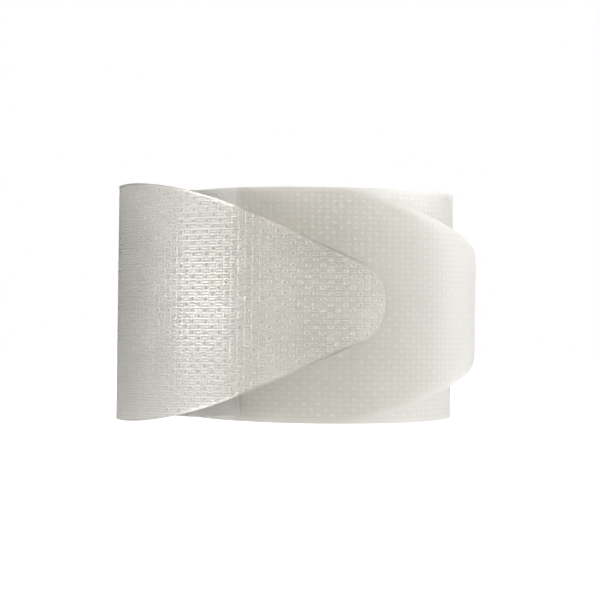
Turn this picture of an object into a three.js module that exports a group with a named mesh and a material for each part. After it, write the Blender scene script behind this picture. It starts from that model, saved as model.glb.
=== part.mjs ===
// Tree guard, as a pair: two springy plastic sheets, each die-cut with a rounded tongue at one end and wound
// into an upright coil that closes round a young trunk. The rear guard is a full ring and its tongue stands
// away from it; the front guard is an open coil that leans on the ring, its tongue curving across in front.
// Millimetres, +Z up. The tongues are towards -Y and the guards stand on their lower cut edges at z = 0.
import * as THREE from "three";

// ---- Driving dimensions ----
const SHEET_HEIGHT = 200;
const SHEET_THICKNESS = 0.8;
const LAYER_GAP = 0.5; // clear space between two turns of the rear coil
const GUARD_GAP = 0.3; // clear space between the front guard and the ring that it leans on
const NODE_GAP = 0.3; // clear space where a tongue's own solid meets its coil

const COIL_RADIUS = 120; // mid-thickness radius of the ring's outer turn, at its front
const COIL_INNER_END = 232; // degrees, where the inner end of the ring's sheet lies
const REAR_FLEX = 610; // degrees, where the rear tongue starts to flex, one turn and more after the inner end
const RING_FRONT = 630; // degrees, the point of the ring nearest the front, where its tongue springs away
const REAR_TONGUE_SPRING = 22.5; // how much wider than the ring the sprung tongue's arc is
const REAR_TONGUE_REACH = 222; // along the sheet from the ring's front to the tip

const TAIL_LENGTH = 73; // straight inner end of the front guard, along its lower edge
const LEAN_ANGLE = 40; // degrees round the ring from its left side, where the straight tail touches
const TAIL_PAST_TOUCH = 38; // how far the tail runs on past that place
const BACK_BEND_RADIUS = 34.5;
const SIDE_BEND_RADIUS = 92;
const SIDE_BEND_SWEEP = 45;
const FRONT_FLEX = 20; // degrees round the side bend, where the front tongue starts to flex
const FRONT_TONGUE_RADIUS = 186;
const FRONT_TONGUE_SWEEP = 67;
const FRONT_RISE = 3; // how much higher the front tongue's tip stands than it would on a level sheet
const REAR_FALL = 2.4; // how much lower the rear tongue's tip hangs

const FRONT_TIP = { radius: 35, taper: 23.6, shoulder: 330 };
const REAR_TIP = { radius: 56, taper: 16.7, shoulder: 270 };

const TAIL_SLANT = 36; // the upper corner of the tail stops this far short of the lower one
const TAIL_TOP_DROP = 10; // how much lower the tail's upper corner is than the sheet's edge
const TAIL_FOOT_RISE = 5; // how much higher its lower corner is
const TAIL_BLEND = 75; // length over which the tail comes to full height
const TAIL_CORNER = 3; // how softly the tail's upper corner is rounded

const STEP = 5; // facet length along a coil
const FINE_STEPS = 14; // stations round a tongue's tip
const TIP_FLAT = 0.05; // how far short of its apex a tip's last station lies
const TAIL_START = 0.4; // how far inside its lower corner a tail's first station lies
const TAIL_STEPS = 24; // stations along the tail, close enough for its rounded corner

const FILM_COLOUR = 0xe4e2d8;
const FILM_ROUGHNESS = 0.42;

const rad = THREE.MathUtils.degToRad;

// ---- Plan curves ----
// A station is a place on a plan curve: its point, the curve's left-hand normal and the distance run so far.
const stationAt = (x, y, heading, run) => ({
  x,
  y,
  heading,
  run,
  nx: -Math.sin(heading),
  ny: Math.cos(heading),
});

// Walks on from a station along an arc of this radius (Infinity for a straight), turning left.
function ahead(from, radius, distance) {
  if (!Number.isFinite(radius))
    return stationAt(
      from.x + distance * Math.cos(from.heading),
      from.y + distance * Math.sin(from.heading),
      from.heading,
      from.run + distance,
    );
  const heading = from.heading + distance / radius;
  return stationAt(
    from.x + radius * (Math.sin(heading) - Math.sin(from.heading)),
    from.y - radius * (Math.cos(heading) - Math.cos(from.heading)),
    heading,
    from.run + distance,
  );
}

// The ring's spiral: each turn lies one layer outside the last, and the outer one has COIL_RADIUS in front.
function onRing(degrees, innerEnd) {
  const pitch = SHEET_THICKNESS + LAYER_GAP;
  const radiusAt = (d) => COIL_RADIUS - (pitch * (RING_FRONT - d)) / 360;
  const radius = radiusAt(degrees);
  const angle = rad(degrees);
  const drift = Math.atan(pitch / (2 * Math.PI * radius));
  const meanRadius = (radius + radiusAt(innerEnd)) / 2;
  return stationAt(
    radius * Math.cos(angle),
    radius * Math.sin(angle),
    angle + Math.PI / 2 - drift,
    meanRadius * rad(degrees - innerEnd),
  );
}

// ---- Die-cut outlines ----
// Half the height of a tongue at a distance from its tip: round tip, straight taper, long round shoulder.
function tongueHalf(tip, distance) {
  const half = SHEET_HEIGHT / 2;
  const taper = rad(tip.taper);
  const roundEnd = tip.radius * (1 - Math.sin(taper));
  const roundHalf = tip.radius * Math.cos(taper);
  const shoulderHalf = half - tip.shoulder * (1 - Math.cos(taper));
  const straightEnd = roundEnd + (shoulderHalf - roundHalf) / Math.tan(taper);
  const full = straightEnd + tip.shoulder * Math.sin(taper);
  if (distance < roundEnd)
    return Math.sqrt(tip.radius ** 2 - (tip.radius - distance) ** 2);
  if (distance < straightEnd)
    return roundHalf + (distance - roundEnd) * Math.tan(taper);
  if (distance < full)
    return (
      half -
      tip.shoulder +
      Math.sqrt(tip.shoulder ** 2 - (full - distance) ** 2)
    );
  return half;
}

// Lower and upper edge of the front guard's tail, by distance from its lower corner.
function tailEdges(distance) {
  const along = Math.min(distance / TAIL_BLEND, 1);
  const ease = 0.5 + 0.5 * Math.cos(Math.PI * along);
  const low = TAIL_FOOT_RISE * ease;
  const top = SHEET_HEIGHT - TAIL_TOP_DROP * ease;
  const slanted = low + ((top - low) * distance) / TAIL_SLANT;
  // The lower of the slanted cut and the upper edge, with the corner between them rounded.
  const spare = (slanted - top) / TAIL_CORNER;
  return { low, high: top - TAIL_CORNER * Math.log1p(Math.exp(-spare)) };
}

// Distances from a tip at which its tongue has stations: close together where the outline is round.
function tipDistances(tip, length) {
  const list = [TIP_FLAT];
  for (let i = 1; i <= FINE_STEPS; i++) {
    list.push(tip.radius * (1 - Math.cos((Math.PI / 2) * (i / FINE_STEPS))));
  }
  const rest = Math.ceil((length - tip.radius) / STEP);
  for (let i = 1; i <= rest; i++)
    list.push(tip.radius + ((length - tip.radius) * i) / rest);
  return list.reverse();
}

const steps = (length) => Math.max(2, Math.ceil(length / STEP));

// ---- Solids ----
// A closed sheet through stations, each with a lower and an upper edge, centred on the plan curve.
function sheetSolid(stations) {
  const positions = [];
  const indices = [];
  const side = SHEET_THICKNESS / 2;
  for (const s of stations) {
    positions.push(s.x - s.nx * side, s.y - s.ny * side, s.low);
    positions.push(s.x - s.nx * side, s.y - s.ny * side, s.high);
    positions.push(s.x + s.nx * side, s.y + s.ny * side, s.high);
    positions.push(s.x + s.nx * side, s.y + s.ny * side, s.low);
  }
  const quad = (a, b, c, d) => indices.push(a, b, c, a, c, d);
  const count = stations.length;
  for (let i = 0; i + 1 < count; i++)
    for (let corner = 0; corner < 4; corner++) {
      const next = (corner + 1) % 4;
      quad(4 * i + corner, 4 * (i + 1) + corner, 4 * (i + 1) + next, 4 * i + next);
    }
  const last = 4 * (count - 1);
  quad(0, 1, 2, 3);
  quad(last + 3, last + 2, last + 1, last);
  const geometry = new THREE.BufferGeometry();
  geometry.setAttribute("position", new THREE.Float32BufferAttribute(positions, 3));
  geometry.setIndex(indices);
  geometry.computeVertexNormals();
  return geometry;
}

const fullHeight = (s) => ({ ...s, low: 0, high: SHEET_HEIGHT });

// A tongue's stations from its flex line to its tip; place(run) walks the plan curve from that line.
function tongueStations(tip, length, place, rise) {
  return tipDistances(tip, length).map((distance) => {
    const station = place(length - distance);
    const half = tongueHalf(tip, distance);
    const lift = rise(length - distance);
    return {
      ...station,
      low: SHEET_HEIGHT / 2 - half + lift,
      high: SHEET_HEIGHT / 2 + half + lift,
    };
  });
}

// ---- Rear guard: the ring and its tongue ----
const ringLength = onRing(REAR_FLEX, COIL_INNER_END).run;
const ringCut = (NODE_GAP / 2 / ringLength) * (REAR_FLEX - COIL_INNER_END);

function rearCoil() {
  const count = steps(ringLength);
  const sweep = REAR_FLEX - ringCut - COIL_INNER_END;
  const stations = [];
  for (let i = 0; i <= count; i++)
    stations.push(fullHeight(onRing(COIL_INNER_END + (sweep * i) / count, COIL_INNER_END)));
  return sheetSolid(stations);
}

function rearTongue() {
  const lead = onRing(RING_FRONT, REAR_FLEX).run;
  const front = onRing(RING_FRONT, REAR_FLEX);
  const degreesPer = (RING_FRONT - REAR_FLEX) / lead;
  const place = (run) =>
    run < lead
      ? onRing(REAR_FLEX + run * degreesPer, REAR_FLEX)
      : ahead(front, COIL_RADIUS + REAR_TONGUE_SPRING, run - lead);
  const start = NODE_GAP / 2;
  const length = lead + REAR_TONGUE_REACH - start;
  const sink = (run) => -REAR_FALL * (Math.max(0, run + start - lead) / REAR_TONGUE_REACH) ** 2;
  return sheetSolid(tongueStations(REAR_TIP, length, (run) => place(run + start), sink));
}

// ---- Front guard: the open coil and its tongue ----
// The tail touches the ring at LEAN_ANGLE, so the whole guard follows the ring's radius.
function tailCorner() {
  const turn = Math.PI + rad(LEAN_ANGLE);
  const reach = COIL_RADIUS + SHEET_THICKNESS + GUARD_GAP;
  const heading = Math.PI / 2 + rad(LEAN_ANGLE);
  const touch = stationAt(reach * Math.cos(turn), reach * Math.sin(turn), heading, 0);
  return { ...ahead(touch, Infinity, -TAIL_PAST_TOUCH), run: 0 };
}

const backBend = BACK_BEND_RADIUS * rad(180 - LEAN_ANGLE);
const sideBend = SIDE_BEND_RADIUS * rad(SIDE_BEND_SWEEP);
const frontFlexRun = TAIL_LENGTH + backBend + SIDE_BEND_RADIUS * rad(FRONT_FLEX);

// The front guard's plan curve: straight tail, tight back bend, wider side bend, then the tongue's long arc.
function onFront(run) {
  const tail = tailCorner();
  if (run < TAIL_LENGTH) return ahead(tail, Infinity, run);
  const bend = ahead(tail, Infinity, TAIL_LENGTH);
  if (run < TAIL_LENGTH + backBend)
    return ahead(bend, BACK_BEND_RADIUS, run - TAIL_LENGTH);
  const side = ahead(bend, BACK_BEND_RADIUS, backBend);
  if (run < TAIL_LENGTH + backBend + sideBend)
    return ahead(side, SIDE_BEND_RADIUS, run - TAIL_LENGTH - backBend);
  const flap = ahead(side, SIDE_BEND_RADIUS, sideBend);
  return ahead(flap, FRONT_TONGUE_RADIUS, run - TAIL_LENGTH - backBend - sideBend);
}

function frontCoil() {
  const end = frontFlexRun - NODE_GAP / 2;
  const stations = [];
  const stretches = [
    { from: TAIL_START, to: TAIL_LENGTH, count: TAIL_STEPS },
    { from: TAIL_LENGTH, to: end, count: steps(end - TAIL_LENGTH) },
  ];
  for (const { from, to, count } of stretches)
    for (let i = from === TAIL_START ? 0 : 1; i <= count; i++) {
      const run = from + ((to - from) * i) / count;
      stations.push({ ...onFront(run), ...tailEdges(run) });
    }
  return sheetSolid(stations);
}

function frontTongue() {
  const start = frontFlexRun + NODE_GAP / 2;
  const end = TAIL_LENGTH + backBend + sideBend + FRONT_TONGUE_RADIUS * rad(FRONT_TONGUE_SWEEP);
  const length = end - start;
  const climb = (run) => FRONT_RISE * Math.sin((Math.PI / 2) * (run / length));
  return sheetSolid(tongueStations(FRONT_TIP, length, (run) => onFront(run + start), climb));
}

// ---- Assembly ----
const film = () =>
  new THREE.MeshStandardMaterial({ color: FILM_COLOUR, roughness: FILM_ROUGHNESS, metalness: 0 });

const pieces = {
  rear_guard_coil: rearCoil(),
  rear_guard_tongue: rearTongue(),
  front_guard_coil: frontCoil(),
  front_guard_tongue: frontTongue(),
};

const guards = new THREE.Group();
for (const [name, geometry] of Object.entries(pieces)) {
  const mesh = new THREE.Mesh(geometry, film());
  mesh.name = name;
  guards.add(mesh);
}

// The origin is the middle of the pair's footprint, on the surface that both guards stand on.
const extent = new THREE.Box3().setFromObject(guards);
const middle = extent.getCenter(new THREE.Vector3());
guards.position.set(-middle.x, -middle.y, -extent.min.z);

const part = new THREE.Group();
part.add(guards);

export default part;
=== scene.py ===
"""Tree guards: a pair of springy embossed plastic sheets, wound round the space for a young trunk.

The rear guard is a closed ring with its smooth face out; the front guard is an open coil, its
embossed face out. Each is one sheet: a slab is embossed flat, die-cut to its outline and then
wound along its plan curve.
"""
import math

import bpy
import numpy as np
from mathutils import Matrix, Vector


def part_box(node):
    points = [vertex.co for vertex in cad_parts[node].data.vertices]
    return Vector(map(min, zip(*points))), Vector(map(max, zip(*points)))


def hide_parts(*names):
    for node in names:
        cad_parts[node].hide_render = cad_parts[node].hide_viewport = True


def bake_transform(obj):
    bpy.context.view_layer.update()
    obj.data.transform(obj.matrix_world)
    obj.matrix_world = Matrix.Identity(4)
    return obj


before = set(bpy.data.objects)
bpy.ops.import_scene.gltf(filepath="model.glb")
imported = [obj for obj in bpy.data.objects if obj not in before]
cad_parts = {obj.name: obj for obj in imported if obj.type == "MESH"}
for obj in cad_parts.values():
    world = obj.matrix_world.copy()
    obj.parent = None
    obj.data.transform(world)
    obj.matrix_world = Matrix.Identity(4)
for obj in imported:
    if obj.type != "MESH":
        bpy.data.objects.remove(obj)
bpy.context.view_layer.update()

bl_info = {
    "name": "Tree Guard Pair",
    "version": (1, 0, 0),
    "blender": (4, 5, 0),
    "location": "View3D > Sidebar > Tree Guard",
    "description": "Builds a pair of wound, embossed plastic tree guards on their packed frame",
    "category": "Add Mesh",
}

MM = 0.001
COIL_LOW, COIL_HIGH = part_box("rear_guard_coil")
SHEET_HEIGHT = COIL_HIGH.z - COIL_LOW.z


# ---- Sizes and colours that a user would change ----
class GuardSheetSettings(bpy.types.PropertyGroup):
    """The film that both guards are cut from."""

    height: bpy.props.FloatProperty(
        name="Sheet height", description="Height of the standing sheet", default=SHEET_HEIGHT,
        unit="LENGTH",
    )
    thickness: bpy.props.FloatProperty(
        name="Sheet thickness", description="Thickness over the embossing", default=0.8 * MM,
        unit="LENGTH",
    )
    cell_length: bpy.props.FloatProperty(
        name="Cell length", description="Length of an embossed cell along the sheet",
        default=6.1 * MM, unit="LENGTH",
    )
    cell_rows: bpy.props.IntProperty(
        name="Cell rows", description="Rows of embossed cells over the sheet's height", default=44
    )
    relief: bpy.props.FloatProperty(
        name="Relief", description="Depth of the embossing", default=0.2 * MM, unit="LENGTH"
    )


class RearGuardSettings(bpy.types.PropertyGroup):
    """The closed ring and its tongue."""

    radius: bpy.props.FloatProperty(
        name="Ring radius", description="Mid-thickness radius at the front", default=120 * MM,
        unit="LENGTH",
    )
    layer_gap: bpy.props.FloatProperty(
        name="Layer gap", description="Clear space between turns", default=0.5 * MM,
        unit="LENGTH",
    )
    inner_end: bpy.props.FloatProperty(
        name="Inner end", description="Where the inner end of the sheet lies",
        default=math.radians(232), subtype="ANGLE",
    )
    tongue_radius: bpy.props.FloatProperty(
        name="Tongue radius", description="Radius of the sprung tongue", default=142.5 * MM,
        unit="LENGTH",
    )
    tongue_reach: bpy.props.FloatProperty(
        name="Tongue reach", description="From the ring's front to the tip", default=222 * MM,
        unit="LENGTH",
    )
    tip_fall: bpy.props.FloatProperty(
        name="Tip fall", description="How far the tongue's tip hangs down", default=2.4 * MM,
        unit="LENGTH",
    )
    plain_lip: bpy.props.FloatProperty(
        name="Plain lip", description="Band left smooth along the cut edges", default=3.6 * MM,
        unit="LENGTH",
    )


class FrontGuardSettings(bpy.types.PropertyGroup):
    """The open coil that leans on the ring, and its tongue."""

    tail_length: bpy.props.FloatProperty(
        name="Tail length", description="Straight inner end, along its lower edge",
        default=73 * MM, unit="LENGTH",
    )
    back_radius: bpy.props.FloatProperty(
        name="Back bend", description="Radius of the tight back bend", default=34.5 * MM,
        unit="LENGTH",
    )
    side_radius: bpy.props.FloatProperty(
        name="Side bend", description="Radius of the side bend", default=92 * MM, unit="LENGTH"
    )
    tongue_radius: bpy.props.FloatProperty(
        name="Tongue radius", description="Radius of the long tongue", default=186 * MM,
        unit="LENGTH",
    )
    tip_rise: bpy.props.FloatProperty(
        name="Tip rise", description="How far the tongue's tip stands up", default=3 * MM,
        unit="LENGTH",
    )
    plain_lip: bpy.props.FloatProperty(
        name="Plain lip", description="Band left smooth along the cut edges", default=2.0 * MM,
        unit="LENGTH",
    )


class StudioSettings(bpy.types.PropertyGroup):
    """Lights and floor."""

    light_level: bpy.props.FloatProperty(
        name="Light level", description="Scales the power of every softbox", default=1.0
    )
    surround: bpy.props.FloatProperty(
        name="Surround", description="Light from the pale room", default=0.02
    )
    floor_glow: bpy.props.FloatProperty(
        name="Floor glow", description="Light that the floor gives the guards", default=0.38
    )
    floor_white: bpy.props.FloatProperty(
        name="Floor white", description="How bright the floor itself looks", default=0.92
    )
    floor_colour: bpy.props.FloatVectorProperty(
        name="Floor colour", description="Colour of the floor", subtype="COLOR",
        default=(0.85, 0.85, 0.845),
    )


# ---- Plan curves, walked by distance along the sheet ----
RING_FRONT = math.radians(630)  # the ring's nearest point, where its tongue springs away
REAR_FLEX = math.radians(610)  # where the rear tongue starts to flex
LEAN_ANGLE = math.radians(40)  # round the ring from its left side to where the tail touches it
TAIL_PAST_TOUCH = 38 * MM
GUARD_GAP = 0.3 * MM
SIDE_SWEEP = math.radians(45)
FRONT_FLEX = math.radians(20)  # round the side bend, where the front tongue starts to flex
FRONT_TONGUE_SWEEP = math.radians(67)
FLEX_LENGTH = 60 * MM  # stretch of a tongue past its flex line


def ease(share):
    """0 to 1 with a level start and end."""
    share = np.clip(share, 0, 1)
    return share * share * (3 - 2 * share)


def left_of(headings):
    """Unit normals to the left of these headings, which is the inside of a coil."""
    return np.stack([-np.sin(headings), np.cos(headings)], -1)


def arc_from(point, heading, radius, distance):
    """Points and headings at these distances along an arc that turns left, or a straight."""
    if radius is None:
        step = np.stack([np.cos(heading) * distance, np.sin(heading) * distance], -1)
        return point + step, np.full(np.shape(distance), heading)
    turned = heading + distance / radius
    step = [np.sin(turned) - np.sin(heading), np.cos(heading) - np.cos(turned)]
    return point + radius * np.stack(step, -1), turned


def ring_centre():
    """Centre of the ring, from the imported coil's left side and its back."""
    rear = bpy.context.scene.rear_guard
    half = bpy.context.scene.guard_sheet.thickness / 2
    left_radius = rear.radius - ring_pitch() / 4 + half
    back_radius = rear.radius - ring_pitch() / 2 + half
    return np.array([COIL_LOW.x + left_radius, COIL_HIGH.y - back_radius])


def ring_pitch():
    """How far each turn of the ring lies outside the last."""
    return bpy.context.scene.guard_sheet.thickness + bpy.context.scene.rear_guard.layer_gap


class RearPlan:
    """The rear sheet in plan: a spiral of one turn and more, then the sprung tongue's arc."""

    def __init__(self):
        rear = bpy.context.scene.rear_guard
        self.grow = ring_pitch() / math.tau
        self.inner_end = rear.inner_end
        self.start_radius = self.radius_at(rear.inner_end)
        self.flex = self.run_at(REAR_FLEX)
        self.front = self.run_at(RING_FRONT)
        self.length = self.front + rear.tongue_reach

    def radius_at(self, angle):
        return bpy.context.scene.rear_guard.radius - self.grow * (RING_FRONT - angle)

    def run_at(self, angle):
        return (self.start_radius + self.radius_at(angle)) / 2 * (angle - self.inner_end)

    def on_ring(self, angle):
        radius = self.radius_at(angle)
        points = ring_centre() + np.stack([radius * np.cos(angle), radius * np.sin(angle)], -1)
        return points, angle + math.pi / 2 - np.arctan(self.grow / radius)

    def place(self, runs):
        """Points and left-hand normals at these distances along the sheet."""
        rear = bpy.context.scene.rear_guard
        radius = np.sqrt(np.maximum(self.start_radius**2 + 2 * self.grow * runs, 0))
        turned = (radius - self.start_radius) / self.grow
        points, headings = self.on_ring(self.inner_end + turned)
        start, heading = self.on_ring(np.array(RING_FRONT))
        free = runs > self.front
        past = runs[free] - self.front
        points[free], headings[free] = arc_from(start, heading, rear.tongue_radius, past)
        return points, left_of(headings)

    def rise(self, runs):
        """The tongue's own weight lets its tip down."""
        rear = bpy.context.scene.rear_guard
        return -rear.tip_fall * (np.maximum(runs - self.front, 0) / rear.tongue_reach) ** 2


class FrontPlan:
    """The front sheet in plan: straight tail, tight back bend, side bend, then the long tongue."""

    def __init__(self):
        front = bpy.context.scene.front_guard
        self.arcs = [
            (None, front.tail_length),
            (front.back_radius, front.back_radius * (math.pi - LEAN_ANGLE)),
            (front.side_radius, front.side_radius * SIDE_SWEEP),
            (front.tongue_radius, front.tongue_radius * FRONT_TONGUE_SWEEP),
        ]
        lengths = [length for _, length in self.arcs]
        self.flex = lengths[0] + lengths[1] + front.side_radius * FRONT_FLEX
        self.length = sum(lengths)

    def place(self, runs):
        """Points and left-hand normals at these distances along the sheet."""
        sheet = bpy.context.scene.guard_sheet
        reach = bpy.context.scene.rear_guard.radius + sheet.thickness + GUARD_GAP
        turn = math.pi + LEAN_ANGLE
        heading = math.pi / 2 + LEAN_ANGLE
        touch = ring_centre() + reach * np.array([math.cos(turn), math.sin(turn)])
        point, heading = arc_from(touch, heading, None, np.array(-TAIL_PAST_TOUCH))
        points, headings = np.zeros(runs.shape + (2,)), np.zeros(runs.shape)
        start = 0.0
        for i, (radius, length) in enumerate(self.arcs):
            here = runs >= start if i else np.ones(runs.shape, bool)
            points[here], headings[here] = arc_from(point, heading, radius, runs[here] - start)
            point, heading = arc_from(point, heading, radius, np.array(length))
            start += length
        return points, left_of(headings)

    def rise(self, runs):
        """The tongue climbs a little as it springs forward."""
        share = np.clip((runs - self.flex) / (self.length - self.flex), 0, 1)
        return bpy.context.scene.front_guard.tip_rise * np.sin(math.pi / 2 * share)


# ---- Die-cut outlines on the flat sheet ----
FRONT_TIP = dict(radius=35 * MM, taper=math.radians(23.6), shoulder=330 * MM)
REAR_TIP = dict(radius=56 * MM, taper=math.radians(16.7), shoulder=270 * MM)
TAIL = dict(
    slant=36 * MM, top_drop=10 * MM, foot_rise=5 * MM, blend=75 * MM, corner=3 * MM,
    start=0.4 * MM,
)
TAIL_POINTS, TAIL_CROWDING = 48, 1.3  # crowded towards the tail's end
SIDE_POINTS, ROUND_POINTS = 64, 40  # along a tongue's sides and round its tip
LONGEST_SIDE = 260 * MM


def tongue_half(tip, half, distance):
    """Half a tongue's height by distance from its round tip, past its taper and its shoulder."""
    radius, taper, shoulder = tip["radius"], tip["taper"], tip["shoulder"]
    round_end = radius * (1 - math.sin(taper))
    round_half = radius * math.cos(taper)
    climb = half - shoulder * (1 - math.cos(taper)) - round_half
    straight_end = round_end + climb / math.tan(taper)
    full = straight_end + shoulder * math.sin(taper)
    if distance < round_end:
        return math.sqrt(max(0.0, radius**2 - (radius - distance) ** 2))
    if distance < straight_end:
        return round_half + (distance - round_end) * math.tan(taper)
    if distance < full:
        return half - shoulder + math.sqrt(shoulder**2 - (full - distance) ** 2)
    return half


def tail_edges(height, distance):
    """Lower and upper edge of a tail, by distance from its lower corner."""
    narrowing = 0.5 + 0.5 * math.cos(math.pi * min(distance / TAIL["blend"], 1))
    low = TAIL["foot_rise"] * narrowing
    top = height - TAIL["top_drop"] * narrowing
    slanted = low + (top - low) * distance / TAIL["slant"]
    return low, top - TAIL["corner"] * math.log1p(math.exp((top - slanted) / TAIL["corner"]))


def die_line(length, height, tip, has_tail):
    """The outline as flat points, from the inner end along the bottom, round the tip and back."""
    spans = []
    if has_tail:
        for i in range(TAIL_POINTS):
            share = (i / TAIL_POINTS) ** TAIL_CROWDING
            run = TAIL["start"] + (TAIL["blend"] - TAIL["start"]) * share
            spans.append((run, *tail_edges(height, run)))
    spans.append((TAIL["blend"] if has_tail else 0.0, 0.0, height))
    reach = min(length - spans[-1][0] - 2 * MM, LONGEST_SIDE)
    radius = tip["radius"]
    sides = [radius + (reach - radius) * (1 - i / SIDE_POINTS) for i in range(SIDE_POINTS)]
    turns = [math.pi / 2 * i / ROUND_POINTS for i in range(ROUND_POINTS)]
    for distance in sides + [radius * (1 - math.sin(turn)) for turn in turns]:
        half = tongue_half(tip, height / 2, distance)
        spans.append((length - distance, height / 2 - half, height / 2 + half))
    lower = [(run, low) for run, low, high in spans]
    upper = [(run, high) for run, low, high in spans]
    return np.array(lower + [(length, height / 2)] + upper[::-1])


def distance_to_line(points, line):
    """Each flat point's distance to the nearest stretch of a closed line."""
    nearest = np.full(len(points), 1.0)
    for start, end in zip(line, np.roll(line, -1, axis=0)):
        along = end - start
        share = np.clip(((points - start) @ along) / max(along @ along, 1e-12), 0, 1)
        apart = points - start - share[:, None] * along
        nearest = np.minimum(nearest, np.linalg.norm(apart, axis=1))
    return nearest


# The raised marks' shape, as shares of half a cell from its middle.
RING_RADIUS, RING_SLOPE = 0.55, 0.45
BAR_OFFSET, BAR_SLOPE, BAR_END = 0.5, 0.5, 0.3


def weave_height(run, rise, cell_length, cell_height):
    """Height of the embossing, 0 to 1: a ring round a pit takes turns with two level bars."""
    along, up = run / cell_length, rise / cell_height
    across, upward = np.abs(along % 1 - 0.5) * 2, np.abs(up % 1 - 0.5) * 2
    ring = 1 - np.abs(np.hypot(across, upward) - RING_RADIUS) / RING_SLOPE
    bars = 1 - np.abs(upward - BAR_OFFSET) / BAR_SLOPE
    bars = np.clip(bars, 0, 1) * np.clip((1 - across) / BAR_END, 0, 1)
    return np.where((np.floor(along) + np.floor(up)) % 2 == 0, np.clip(ring, 0, 1), bars)


# ---- Mesh work ----
LIP_START, LIP_END = 0.6, 1.4  # where the embossing starts and is in full, in plain lips
SLIVER = 0.001 * MM  # closer than this is the same place


def only(piece):
    """Selects one piece alone and makes it active."""
    bpy.ops.object.select_all(action="DESELECT")
    piece.select_set(True)
    bpy.context.view_layer.objects.active = piece


def coordinates(mesh):
    flat = np.empty(len(mesh.vertices) * 3)
    mesh.vertices.foreach_get("co", flat)
    return flat.reshape(-1, 3)


def embossed_slab(name, length, plain_lip, line, samples, embossed_out):
    """A flat slab a cell bigger than the sheet all round, with one face embossed inside the lip."""
    sheet = bpy.context.scene.guard_sheet
    cell_height = sheet.height / sheet.cell_rows
    columns = math.ceil(length / sheet.cell_length) + 2
    rows = sheet.cell_rows + 2
    size = (columns * sheet.cell_length, rows * cell_height)
    bpy.ops.object.select_all(action="DESELECT")
    bpy.ops.mesh.primitive_grid_add(
        x_subdivisions=columns * samples, y_subdivisions=rows * samples, size=1,
        location=(size[0] / 2 - sheet.cell_length, size[1] / 2 - cell_height, 0),
    )
    slab = bpy.context.object
    slab.name = name
    slab.data.name = name
    slab.scale = (size[0], size[1], 1)
    bpy.ops.object.transform_apply(location=True, rotation=True, scale=True)
    wall = slab.modifiers.new("Thickness", "SOLIDIFY")
    wall.thickness = sheet.thickness
    wall.offset = 0
    bpy.ops.object.modifier_apply(modifier=wall.name)
    dissolve_plain_face(slab, -1 if embossed_out else 1)
    side = 1 if embossed_out else -1
    co = coordinates(slab.data)
    face = co[:, 2] * side > 0
    height = weave_height(co[face, 0], co[face, 1], sheet.cell_length, cell_height)
    inside = distance_to_line(co[face, :2], line)
    fade = ease((inside / plain_lip - LIP_START) / (LIP_END - LIP_START))
    co[face, 2] = side * (sheet.thickness / 2 - sheet.relief * (1 - height) * fade)
    slab.data.vertices.foreach_set("co", co.ravel())
    slab.data.update()
    return slab


def dissolve_plain_face(slab, side):
    """Leaves the plain face as upright strips, halved at mid-height, that bend with the sheet."""
    co = coordinates(slab.data)
    low, high = co[:, 1].min() + SLIVER, co[:, 1].max() - SLIVER
    ends = np.empty(len(slab.data.edges) * 2, int)
    slab.data.edges.foreach_get("vertices", ends)
    first, second = co[ends[0::2]], co[ends[1::2]]
    level = np.abs(first[:, 1] - second[:, 1]) < SLIVER
    plain = (first[:, 2] * side > 0) & (second[:, 2] * side > 0)
    off_middle = np.abs(first[:, 1] - (low + high) / 2) > 100 * SLIVER
    within = (first[:, 1] > low) & (first[:, 1] < high) & off_middle
    only(slab)
    bpy.ops.object.mode_set(mode="EDIT")
    bpy.ops.mesh.select_mode(type="EDGE")
    bpy.ops.mesh.select_all(action="DESELECT")
    bpy.ops.object.mode_set(mode="OBJECT")
    slab.data.edges.foreach_set("select", level & plain & within)
    bpy.ops.object.mode_set(mode="EDIT")
    bpy.ops.mesh.dissolve_edges(use_verts=True)
    bpy.ops.object.mode_set(mode="OBJECT")


def die_cut(slab, line):
    """Cuts the slab to the outline with a deep block of the same outline."""
    depth = 4 * bpy.context.scene.guard_sheet.thickness
    bpy.ops.object.select_all(action="DESELECT")
    bpy.ops.mesh.primitive_circle_add(vertices=len(line), radius=1, fill_type="NGON")
    die = bpy.context.object
    co = np.column_stack([line, np.full(len(line), -depth / 2)])
    die.data.vertices.foreach_set("co", co.ravel())
    bpy.ops.object.mode_set(mode="EDIT")
    bpy.ops.mesh.select_all(action="SELECT")
    bpy.ops.mesh.extrude_region_move(TRANSFORM_OT_translate={"value": (0, 0, depth)})
    bpy.ops.mesh.select_all(action="SELECT")
    bpy.ops.mesh.normals_make_consistent(inside=False)
    bpy.ops.object.mode_set(mode="OBJECT")
    only(slab)
    cut = slab.modifiers.new("Die cut", "BOOLEAN")
    cut.operation = "INTERSECT"
    cut.solver = "MANIFOLD"
    cut.object = die
    bpy.ops.object.modifier_apply(modifier=cut.name)
    bpy.data.objects.remove(die)


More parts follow.
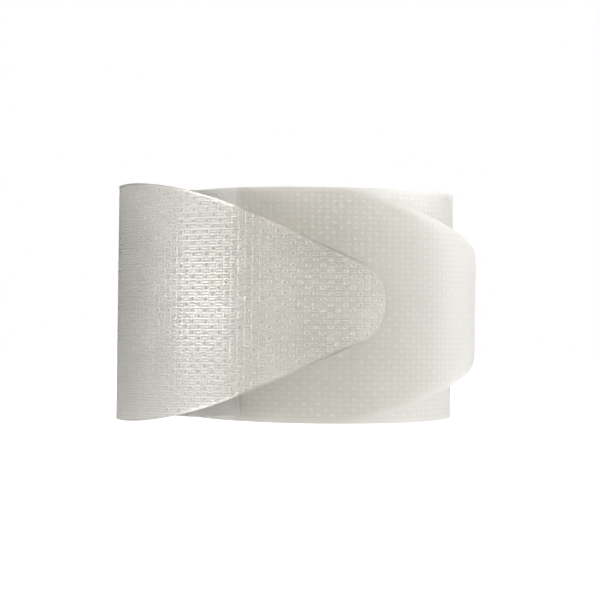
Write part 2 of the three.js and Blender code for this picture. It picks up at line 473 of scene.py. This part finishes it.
def wind(sheet, plan, line):
    """Winds the flat sheet along its plan curve, keeping its flat map and distance to the cut."""
    settings = bpy.context.scene.guard_sheet
    mesh = sheet.data
    co = coordinates(mesh)
    corners = np.empty(len(mesh.loops), int)
    mesh.loops.foreach_get("vertex_index", corners)
    cells = np.array([settings.cell_length, settings.height / settings.cell_rows])
    flat_map = mesh.uv_layers.new(name="cells")
    flat_map.uv.foreach_set("vector", (co[:, :2] / cells)[corners].astype(np.float32).ravel())
    lip = mesh.attributes.new("cut_distance", "FLOAT", "POINT")
    lip.data.foreach_set("value", distance_to_line(co[:, :2], line).astype(np.float32))
    points, normals = plan.place(co[:, 0])
    upright = co[:, 1] + plan.rise(co[:, 0])
    wound = np.column_stack([points - normals * co[:, 2:3], upright])
    mesh.vertices.foreach_set("co", wound.ravel())
    mesh.update()
    only(sheet)
    bpy.ops.object.shade_smooth_by_angle(angle=math.radians(50))
    return co[:, 0]


def bend_with(sheet, plan, runs):
    """Bakes the sheet's placement into its mesh."""
    ends, _ = plan.place(np.array([plan.flex, plan.length]))
    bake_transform(sheet)
    weight = ease((runs - plan.flex) / FLEX_LENGTH)


# ---- Materials ----
class Level:
    """A socket's value, so that shader maths reads as arithmetic and adds its Math nodes."""

    def __init__(self, finish, socket):
        self.finish = finish
        self.socket = socket

    def math(self, operation, *values):
        return self.finish.level("ShaderNodeMath", {"operation": operation}, values)

    def __add__(self, other):
        return self.math("ADD", self, other)

    def __radd__(self, other):
        return self.math("ADD", other, self)

    def __sub__(self, other):
        return self.math("SUBTRACT", self, other)

    def __rsub__(self, other):
        return self.math("SUBTRACT", other, self)

    def __mul__(self, other):
        return self.math("MULTIPLY", self, other)

    def __rmul__(self, other):
        return self.math("MULTIPLY", other, self)

    def __mod__(self, other):
        return self.math("FLOORED_MODULO", self, other)


class Finish:
    """The nodes of one material, or of the room round the guards."""

    def __init__(self, owner):
        owner.use_nodes = True
        self.nodes = owner.node_tree.nodes
        self.links = owner.node_tree.links
        self.nodes.clear()

    def node(self, kind, settings, values, output=0):
        """Adds a node, sets it up, fills its inputs by order or name, and gives back one output."""
        made = self.nodes.new(kind)
        for key, value in settings.items():
            setattr(made, key, value)
        pairs = values.items() if isinstance(values, dict) else enumerate(values)
        for key, value in pairs:
            value = value.socket if isinstance(value, Level) else value
            if isinstance(value, bpy.types.NodeSocket):
                self.links.new(value, made.inputs[key])
            elif value is not None:
                made.inputs[key].default_value = value
        return made.outputs[output] if made.outputs else None

    def level(self, kind, settings, values, output=0):
        return Level(self, self.node(kind, settings, values, output))


# The marks in the film, sharper than the mesh holds, as shares of half a cell from its middle.
RIM_RADIUS, LINE_WIDTH, LINE_OFFSET, LINE_ENDS = 0.6, 0.34, 0.48, (0.75, 0.98)
PIT_RADIUS, PIT_DEPTH = 0.4, 0.6
GROOVE_WIDTH, GROOVE_DEPTH = 0.2, 0.25
DOT_EDGE, DOT_HEIGHT, DOT_FADE, DOT_GROUND = (0.15, 0.95), 1.6, 1.0, 0.5
# Band along the cut edges, painted paler on the rear sheet as a painted highlight and darker on the
# front sheet.
CUT_EDGE_LIGHT_BAND = (0.4 * MM, 1.6 * MM)
GRAIN, GRAIN_DEPTH, GRAIN_FROST = {"Scale": 9.0, "Detail": 3.0}, 0.02 * MM, 0.1
CLOUD, CLOUD_TONE = {"Scale": 0.11, "Detail": 2.0}, 0.5
GROUND_TONE = 0.25
TAIL_FADE, TAIL_MILK = 0.6, 0.1  # cells over which the tail's painted light ends, and how much milkier that lit tail is
SHEEN_ROUGHNESS = 0.2

# tail is how many cells of the inner end are painted paler, as painted light; edge is how much
# paler the cut edges are painted, a painted highlight on the rear sheet and a darker band on the
# front; ground is the colour between the raised marks, darkened as painted shade.
FRONT_FILM = dict(
    rings=True, relief=0.35 * MM, contrast=0.5, edge=-0.4, shaded_ground=(0.55, 0.53, 0.47),
    raised=(0.99, 0.985, 0.965), frost=0.32, clear=0.88, milk=0.06, sheen=0.062, tail=12.2,
)
REAR_FILM = dict(
    rings=False, relief=0.12 * MM, contrast=0.8, edge=0.4, shaded_ground=(0.87, 0.86, 0.815),
    raised=(0.99, 0.985, 0.96), frost=0.4, clear=0.85, milk=0.04, sheen=None, tail=None,
)


def film(name, look, plain_lip):
    """Frosted film: pale marks over painted shade in the hollows, a fine grain, cloudy patches,
    painted light on the tail and painted bands along the cut edges.
    """
    material = bpy.data.materials.new(name)
    f = Finish(material)
    cells = f.node("ShaderNodeUVMap", {"uv_map": "cells"}, {})
    parts = f.node("ShaderNodeSeparateXYZ", {}, {0: cells})
    along = Level(f, parts.node.outputs[0])
    up = Level(f, parts.node.outputs[1])
    barred = (along.math("FLOOR", along) + along.math("FLOOR", up)) % 2
    across = along.math("ABSOLUTE", along % 1 - 0.5) * 2
    upward = along.math("ABSOLUTE", up % 1 - 0.5) * 2
    radius = along.math("SQRT", across * across + upward * upward)

    def near(value, start, end):
        """One up to the start value, easing to nothing at the end value."""
        settings = {"interpolation_type": "SMOOTHSTEP"}
        return f.level("ShaderNodeMapRange", settings, [value, start, end, 1.0, 0.0])

    if look["rings"]:
        rim = near(along.math("ABSOLUTE", radius - RIM_RADIUS), 0.0, LINE_WIDTH)
        pit = near(radius, 0.0, PIT_RADIUS) * PIT_DEPTH
        bars = near(along.math("ABSOLUTE", upward - LINE_OFFSET), 0.0, LINE_WIDTH)
        groove = near(1 - across, 0.0, GROOVE_WIDTH) * GROOVE_DEPTH
        height = (rim - pit) * (1 - barred) + bars * near(across, *LINE_ENDS) * barred - groove
    else:
        height = near(radius, *DOT_EDGE) * (DOT_HEIGHT - barred * DOT_FADE) - DOT_GROUND
    cut = f.level("ShaderNodeAttribute", {"attribute_name": "cut_distance"}, {}, 2)
    inside = 1 - near(cut, plain_lip * LIP_START, plain_lip * LIP_END)
    # Painted highlight along the rear sheet's cut edges; a darker band along the front sheet's.
    edge = near(cut, *CUT_EDGE_LIGHT_BAND)
    grain = f.level(
        "ShaderNodeTexNoise", {"noise_dimensions": "2D"}, {"Vector": cells, **GRAIN}
    )
    cloud = f.level("ShaderNodeTexNoise", {}, {"Vector": cells, **CLOUD})
    # The inner end is painted paler: painted light standing in for the bright light the tail
    # catches.
    tail = near(along, look["tail"] - TAIL_FADE, look["tail"]) if look["tail"] else 0.0
    # Paler on the raised marks and darker in the pits and grooves: painted shade of the embossing's
    # relief.
    relief_shade = height * look["contrast"] * inside
    # Share of the pale colour: painted shade of the relief, painted light on the tail and cut
    # edges, and the film's own cloudy tone.
    pale = GROUND_TONE + tail + relief_shade + cloud * CLOUD_TONE + edge * look["edge"]
    shade = f.node(
        "ShaderNodeMix", {"data_type": "RGBA"},
        {"Factor": pale, "A": (*look["shaded_ground"], 1), "B": (*look["raised"], 1)}, 2,
    )
    stamp = f.node(
        "ShaderNodeBump", {},
        {"Strength": 1.0, "Distance": look["relief"], "Height": height * inside},
    )
    bump = f.node(
        "ShaderNodeBump", {},
        {"Strength": 0.5, "Distance": GRAIN_DEPTH, "Height": grain, "Normal": stamp},
    )
    frost = look["frost"] + (grain - 0.5) * GRAIN_FROST
    surface = f.node(
        "ShaderNodeBsdfPrincipled", {},
        {"Base Color": shade, "Roughness": frost, "IOR": 1.5, "Normal": bump,
         "Transmission Weight": look["clear"]},
    )
    through = f.node(
        "ShaderNodeBsdfTranslucent", {}, {"Color": (*look["raised"], 1), "Normal": bump}
    )
    # More translucent on the tail, adding to the painted light there.
    milk = look["milk"] + tail * TAIL_MILK
    skin = f.node("ShaderNodeMixShader", {}, [milk, surface, through])
    if look["sheen"]:
        gloss = f.node(
            "ShaderNodeBsdfPrincipled", {},
            {"Base Color": (1, 1, 1, 1), "Metallic": 1.0, "Roughness": SHEEN_ROUGHNESS,
             "Normal": bump},
        )
        skin = f.node("ShaderNodeMixShader", {}, [look["sheen"], skin, gloss])
    f.node("ShaderNodeOutputMaterial", {}, {"Surface": skin})
    return material


# ---- Operators ----
def guard_sheet(name, plan, tip, samples, has_tail, embossed_out, plain_lip, film_name, look):
    """One sheet, embossed flat, die-cut, wound and finished, with its vertices' distances along."""
    line = die_line(plan.length, bpy.context.scene.guard_sheet.height, tip, has_tail)
    sheet = embossed_slab(name, plan.length, plain_lip, line, samples, embossed_out)
    die_cut(sheet, line)
    runs = wind(sheet, plan, line)
    sheet.data.materials.clear()
    sheet.data.materials.append(film(film_name, look, plain_lip))
    return sheet, runs


class BuildRearSheet(bpy.types.Operator):
    """Builds the rear guard: a closed ring, smooth face out, and a tongue that stands away"""

    bl_idname = "tree_guard.rear_sheet"
    bl_label = "Rear guard sheet"

    def execute(self, context):
        plan = RearPlan()
        sheet, runs = guard_sheet(
            "rear_guard_sheet", plan, REAR_TIP, samples=3, has_tail=False, embossed_out=False,
            plain_lip=context.scene.rear_guard.plain_lip,
            film_name="rear guard film", look=REAR_FILM,
        )
        bend_with(sheet, plan, runs)
        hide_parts("rear_guard_coil", "rear_guard_tongue")
        return {"FINISHED"}


class BuildFrontSheet(bpy.types.Operator):
    """Builds the front guard: an open coil, embossed face out, and a long tongue across the ring"""

    bl_idname = "tree_guard.front_sheet"
    bl_label = "Front guard sheet"

    def execute(self, context):
        plan = FrontPlan()
        sheet, runs = guard_sheet(
            "front_guard_sheet", plan, FRONT_TIP, samples=4, has_tail=True, embossed_out=True,
            plain_lip=context.scene.front_guard.plain_lip,
            film_name="front guard film", look=FRONT_FILM,
        )
        bend_with(sheet, plan, runs)
        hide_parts("front_guard_coil", "front_guard_tongue")
        return {"FINISHED"}


WARM, ROSY, NEUTRAL = (1.0, 0.95, 0.85), (1.0, 0.97, 0.95), (1.0, 0.99, 1.0)
SOFTBOXES = (
    # direction from the front in degrees, height, distance, width, upright size, power, colour
    (-68, 0.40, 1.5, 1.10, 1.20, 6.9, ROSY),
    (-50, 0.12, 1.5, 0.80, 0.22, 7.2, ROSY),
    (-12, 0.40, 1.5, 0.62, 1.20, 6.6, WARM),
    (40, 0.40, 1.5, 0.62, 1.20, 5.2, NEUTRAL),
    (65, 0.40, 1.5, 0.62, 1.20, 8.0, NEUTRAL),
    (90, 0.40, 1.5, 0.62, 1.20, 10.0, NEUTRAL),
    (120, 0.40, 1.5, 0.62, 1.20, 5.0, NEUTRAL),
    (155, 0.40, 1.5, 0.62, 1.20, 3.5, NEUTRAL),
    (180, 0.40, 1.5, 0.62, 1.20, 2.0, NEUTRAL),
    (60, 1.30, 0.7, 1.00, 1.00, 5.0, NEUTRAL),
    (-40, 1.50, 0.7, 1.20, 1.20, 4.0, NEUTRAL),
)
LIGHTS_AIM = Vector((0, 0, 0.1))
FLOOR_DROP = 0.6 * MM  # keeps the floor clear of the sheets' lower edges
ROOM_COLOUR = (1.0, 0.98, 0.94)

CAMERA_ASIDE, CAMERA_AWAY, CAMERA_HEIGHT = -18.56 * MM, -1596.1 * MM, 104.2 * MM
CAMERA_ROLL = math.radians(0.81)
FOCAL_LENGTH, SENSOR_WIDTH = 105, 36


def soft_light(direction, height, away, width, upright, power, colour):
    """A softbox on the ring of lights round the guards, facing them."""
    light = bpy.data.lights.new("softbox", "AREA")
    light.shape = "RECTANGLE"
    light.size, light.size_y = width, upright
    light.energy = power * bpy.context.scene.guard_studio.light_level
    light.color = colour
    box = bpy.data.objects.new("softbox", light)
    bpy.context.scene.collection.objects.link(box)
    turn = math.radians(direction)
    box.location = (math.sin(turn) * away, -math.cos(turn) * away, height)
    box.rotation_euler = (LIGHTS_AIM - box.location).to_track_quat("-Z", "Y").to_euler()


def pale_floor():
    """A matt floor that looks nearly white and lights the guards with less than that."""
    studio = bpy.context.scene.guard_studio
    material = bpy.data.materials.new("pale floor")
    f = Finish(material)
    mottle = f.level("ShaderNodeTexNoise", {}, {"Scale": 3.0, "Detail": 2.0})
    matt = {
        "Base Color": (*studio.floor_colour, 1), "Roughness": 0.75 + mottle * 0.1,
        "Emission Color": (1, 1, 1, 1), "Emission Strength": studio.floor_glow,
    }
    lit = f.node("ShaderNodeBsdfPrincipled", {}, matt)
    white = {"Emission Strength": studio.floor_white}
    seen = f.node("ShaderNodeBsdfPrincipled", {}, matt | white)
    looked_at = f.node("ShaderNodeLightPath", {}, {})
    surface = f.node("ShaderNodeMixShader", {}, [looked_at, lit, seen])
    f.node("ShaderNodeOutputMaterial", {}, {"Surface": surface})
    return material


def pale_room():
    """A room that looks white and gives only a little light."""
    surround = bpy.context.scene.guard_studio.surround
    room = bpy.data.worlds.new("pale room")
    f = Finish(room)
    lit = f.node("ShaderNodeBackground", {}, {"Color": (*ROOM_COLOUR, 1), "Strength": surround})
    seen = f.node("ShaderNodeBackground", {}, {"Color": (1, 1, 1, 1), "Strength": 1.0})
    looked_at = f.node("ShaderNodeLightPath", {}, {})
    surface = f.node("ShaderNodeMixShader", {}, [looked_at, lit, seen])
    f.node("ShaderNodeOutputWorld", {}, {"Surface": surface})
    return room


class BuildStage(bpy.types.Operator):
    """Sets out the pale floor, the soft lights, the pale room and the camera"""

    bl_idname = "tree_guard.stage"
    bl_label = "Stage"

    def execute(self, context):
        bpy.ops.object.select_all(action="DESELECT")
        bpy.ops.mesh.primitive_plane_add(size=4, location=(0, 0, -FLOOR_DROP))
        floor = context.object
        floor.name = "floor"
        floor.data.materials.append(pale_floor())
        for softbox in SOFTBOXES:
            soft_light(*softbox)
        context.scene.world = pale_room()
        context.scene.view_settings.view_transform = "Standard"
        lens = bpy.data.cameras.new("camera")
        lens.lens, lens.sensor_width = FOCAL_LENGTH, SENSOR_WIDTH
        lens.clip_start, lens.clip_end = 0.01, 100
        camera = bpy.data.objects.new("camera", lens)
        context.scene.collection.objects.link(camera)
        centre = ring_centre()
        camera.location = (centre[0] + CAMERA_ASIDE, centre[1] + CAMERA_AWAY, CAMERA_HEIGHT)
        level = Matrix.Rotation(math.pi / 2, 4, "X")
        roll = Matrix.Rotation(CAMERA_ROLL, 4, "Z")
        camera.rotation_euler = (level @ roll).to_euler()
        context.scene.camera = camera
        return {"FINISHED"}


class TreeGuardPanel(bpy.types.Panel):
    """Lists the pieces and the sizes they are made from"""

    bl_idname = "VIEW3D_PT_tree_guard"
    bl_label = "Tree Guard Pair"
    bl_space_type = "VIEW_3D"
    bl_region_type = "UI"
    bl_category = "Tree Guard"

    def draw(self, context):
        for name, settings in SETTINGS.items():
            box = self.layout.box()
            for key in settings.__annotations__:
                box.prop(getattr(context.scene, name), key)
        for operator in OPERATORS:
            self.layout.operator(operator.bl_idname)


SETTINGS = {
    "guard_sheet": GuardSheetSettings,
    "rear_guard": RearGuardSettings,
    "front_guard": FrontGuardSettings,
    "guard_studio": StudioSettings,
}
OPERATORS = (BuildRearSheet, BuildFrontSheet, BuildStage)


def register():
    for cls in (*SETTINGS.values(), *OPERATORS, TreeGuardPanel):
        bpy.utils.register_class(cls)
    for name, settings in SETTINGS.items():
        setattr(bpy.types.Scene, name, bpy.props.PointerProperty(type=settings))


def unregister():
    for name in SETTINGS:
        delattr(bpy.types.Scene, name)
    for cls in (TreeGuardPanel, *OPERATORS[::-1], *list(SETTINGS.values())[::-1]):
        bpy.utils.unregister_class(cls)


def main():
    register()
    bpy.ops.tree_guard.rear_sheet()
    bpy.ops.tree_guard.front_sheet()
    bpy.ops.tree_guard.stage()


if __name__ == "__main__":
    main()
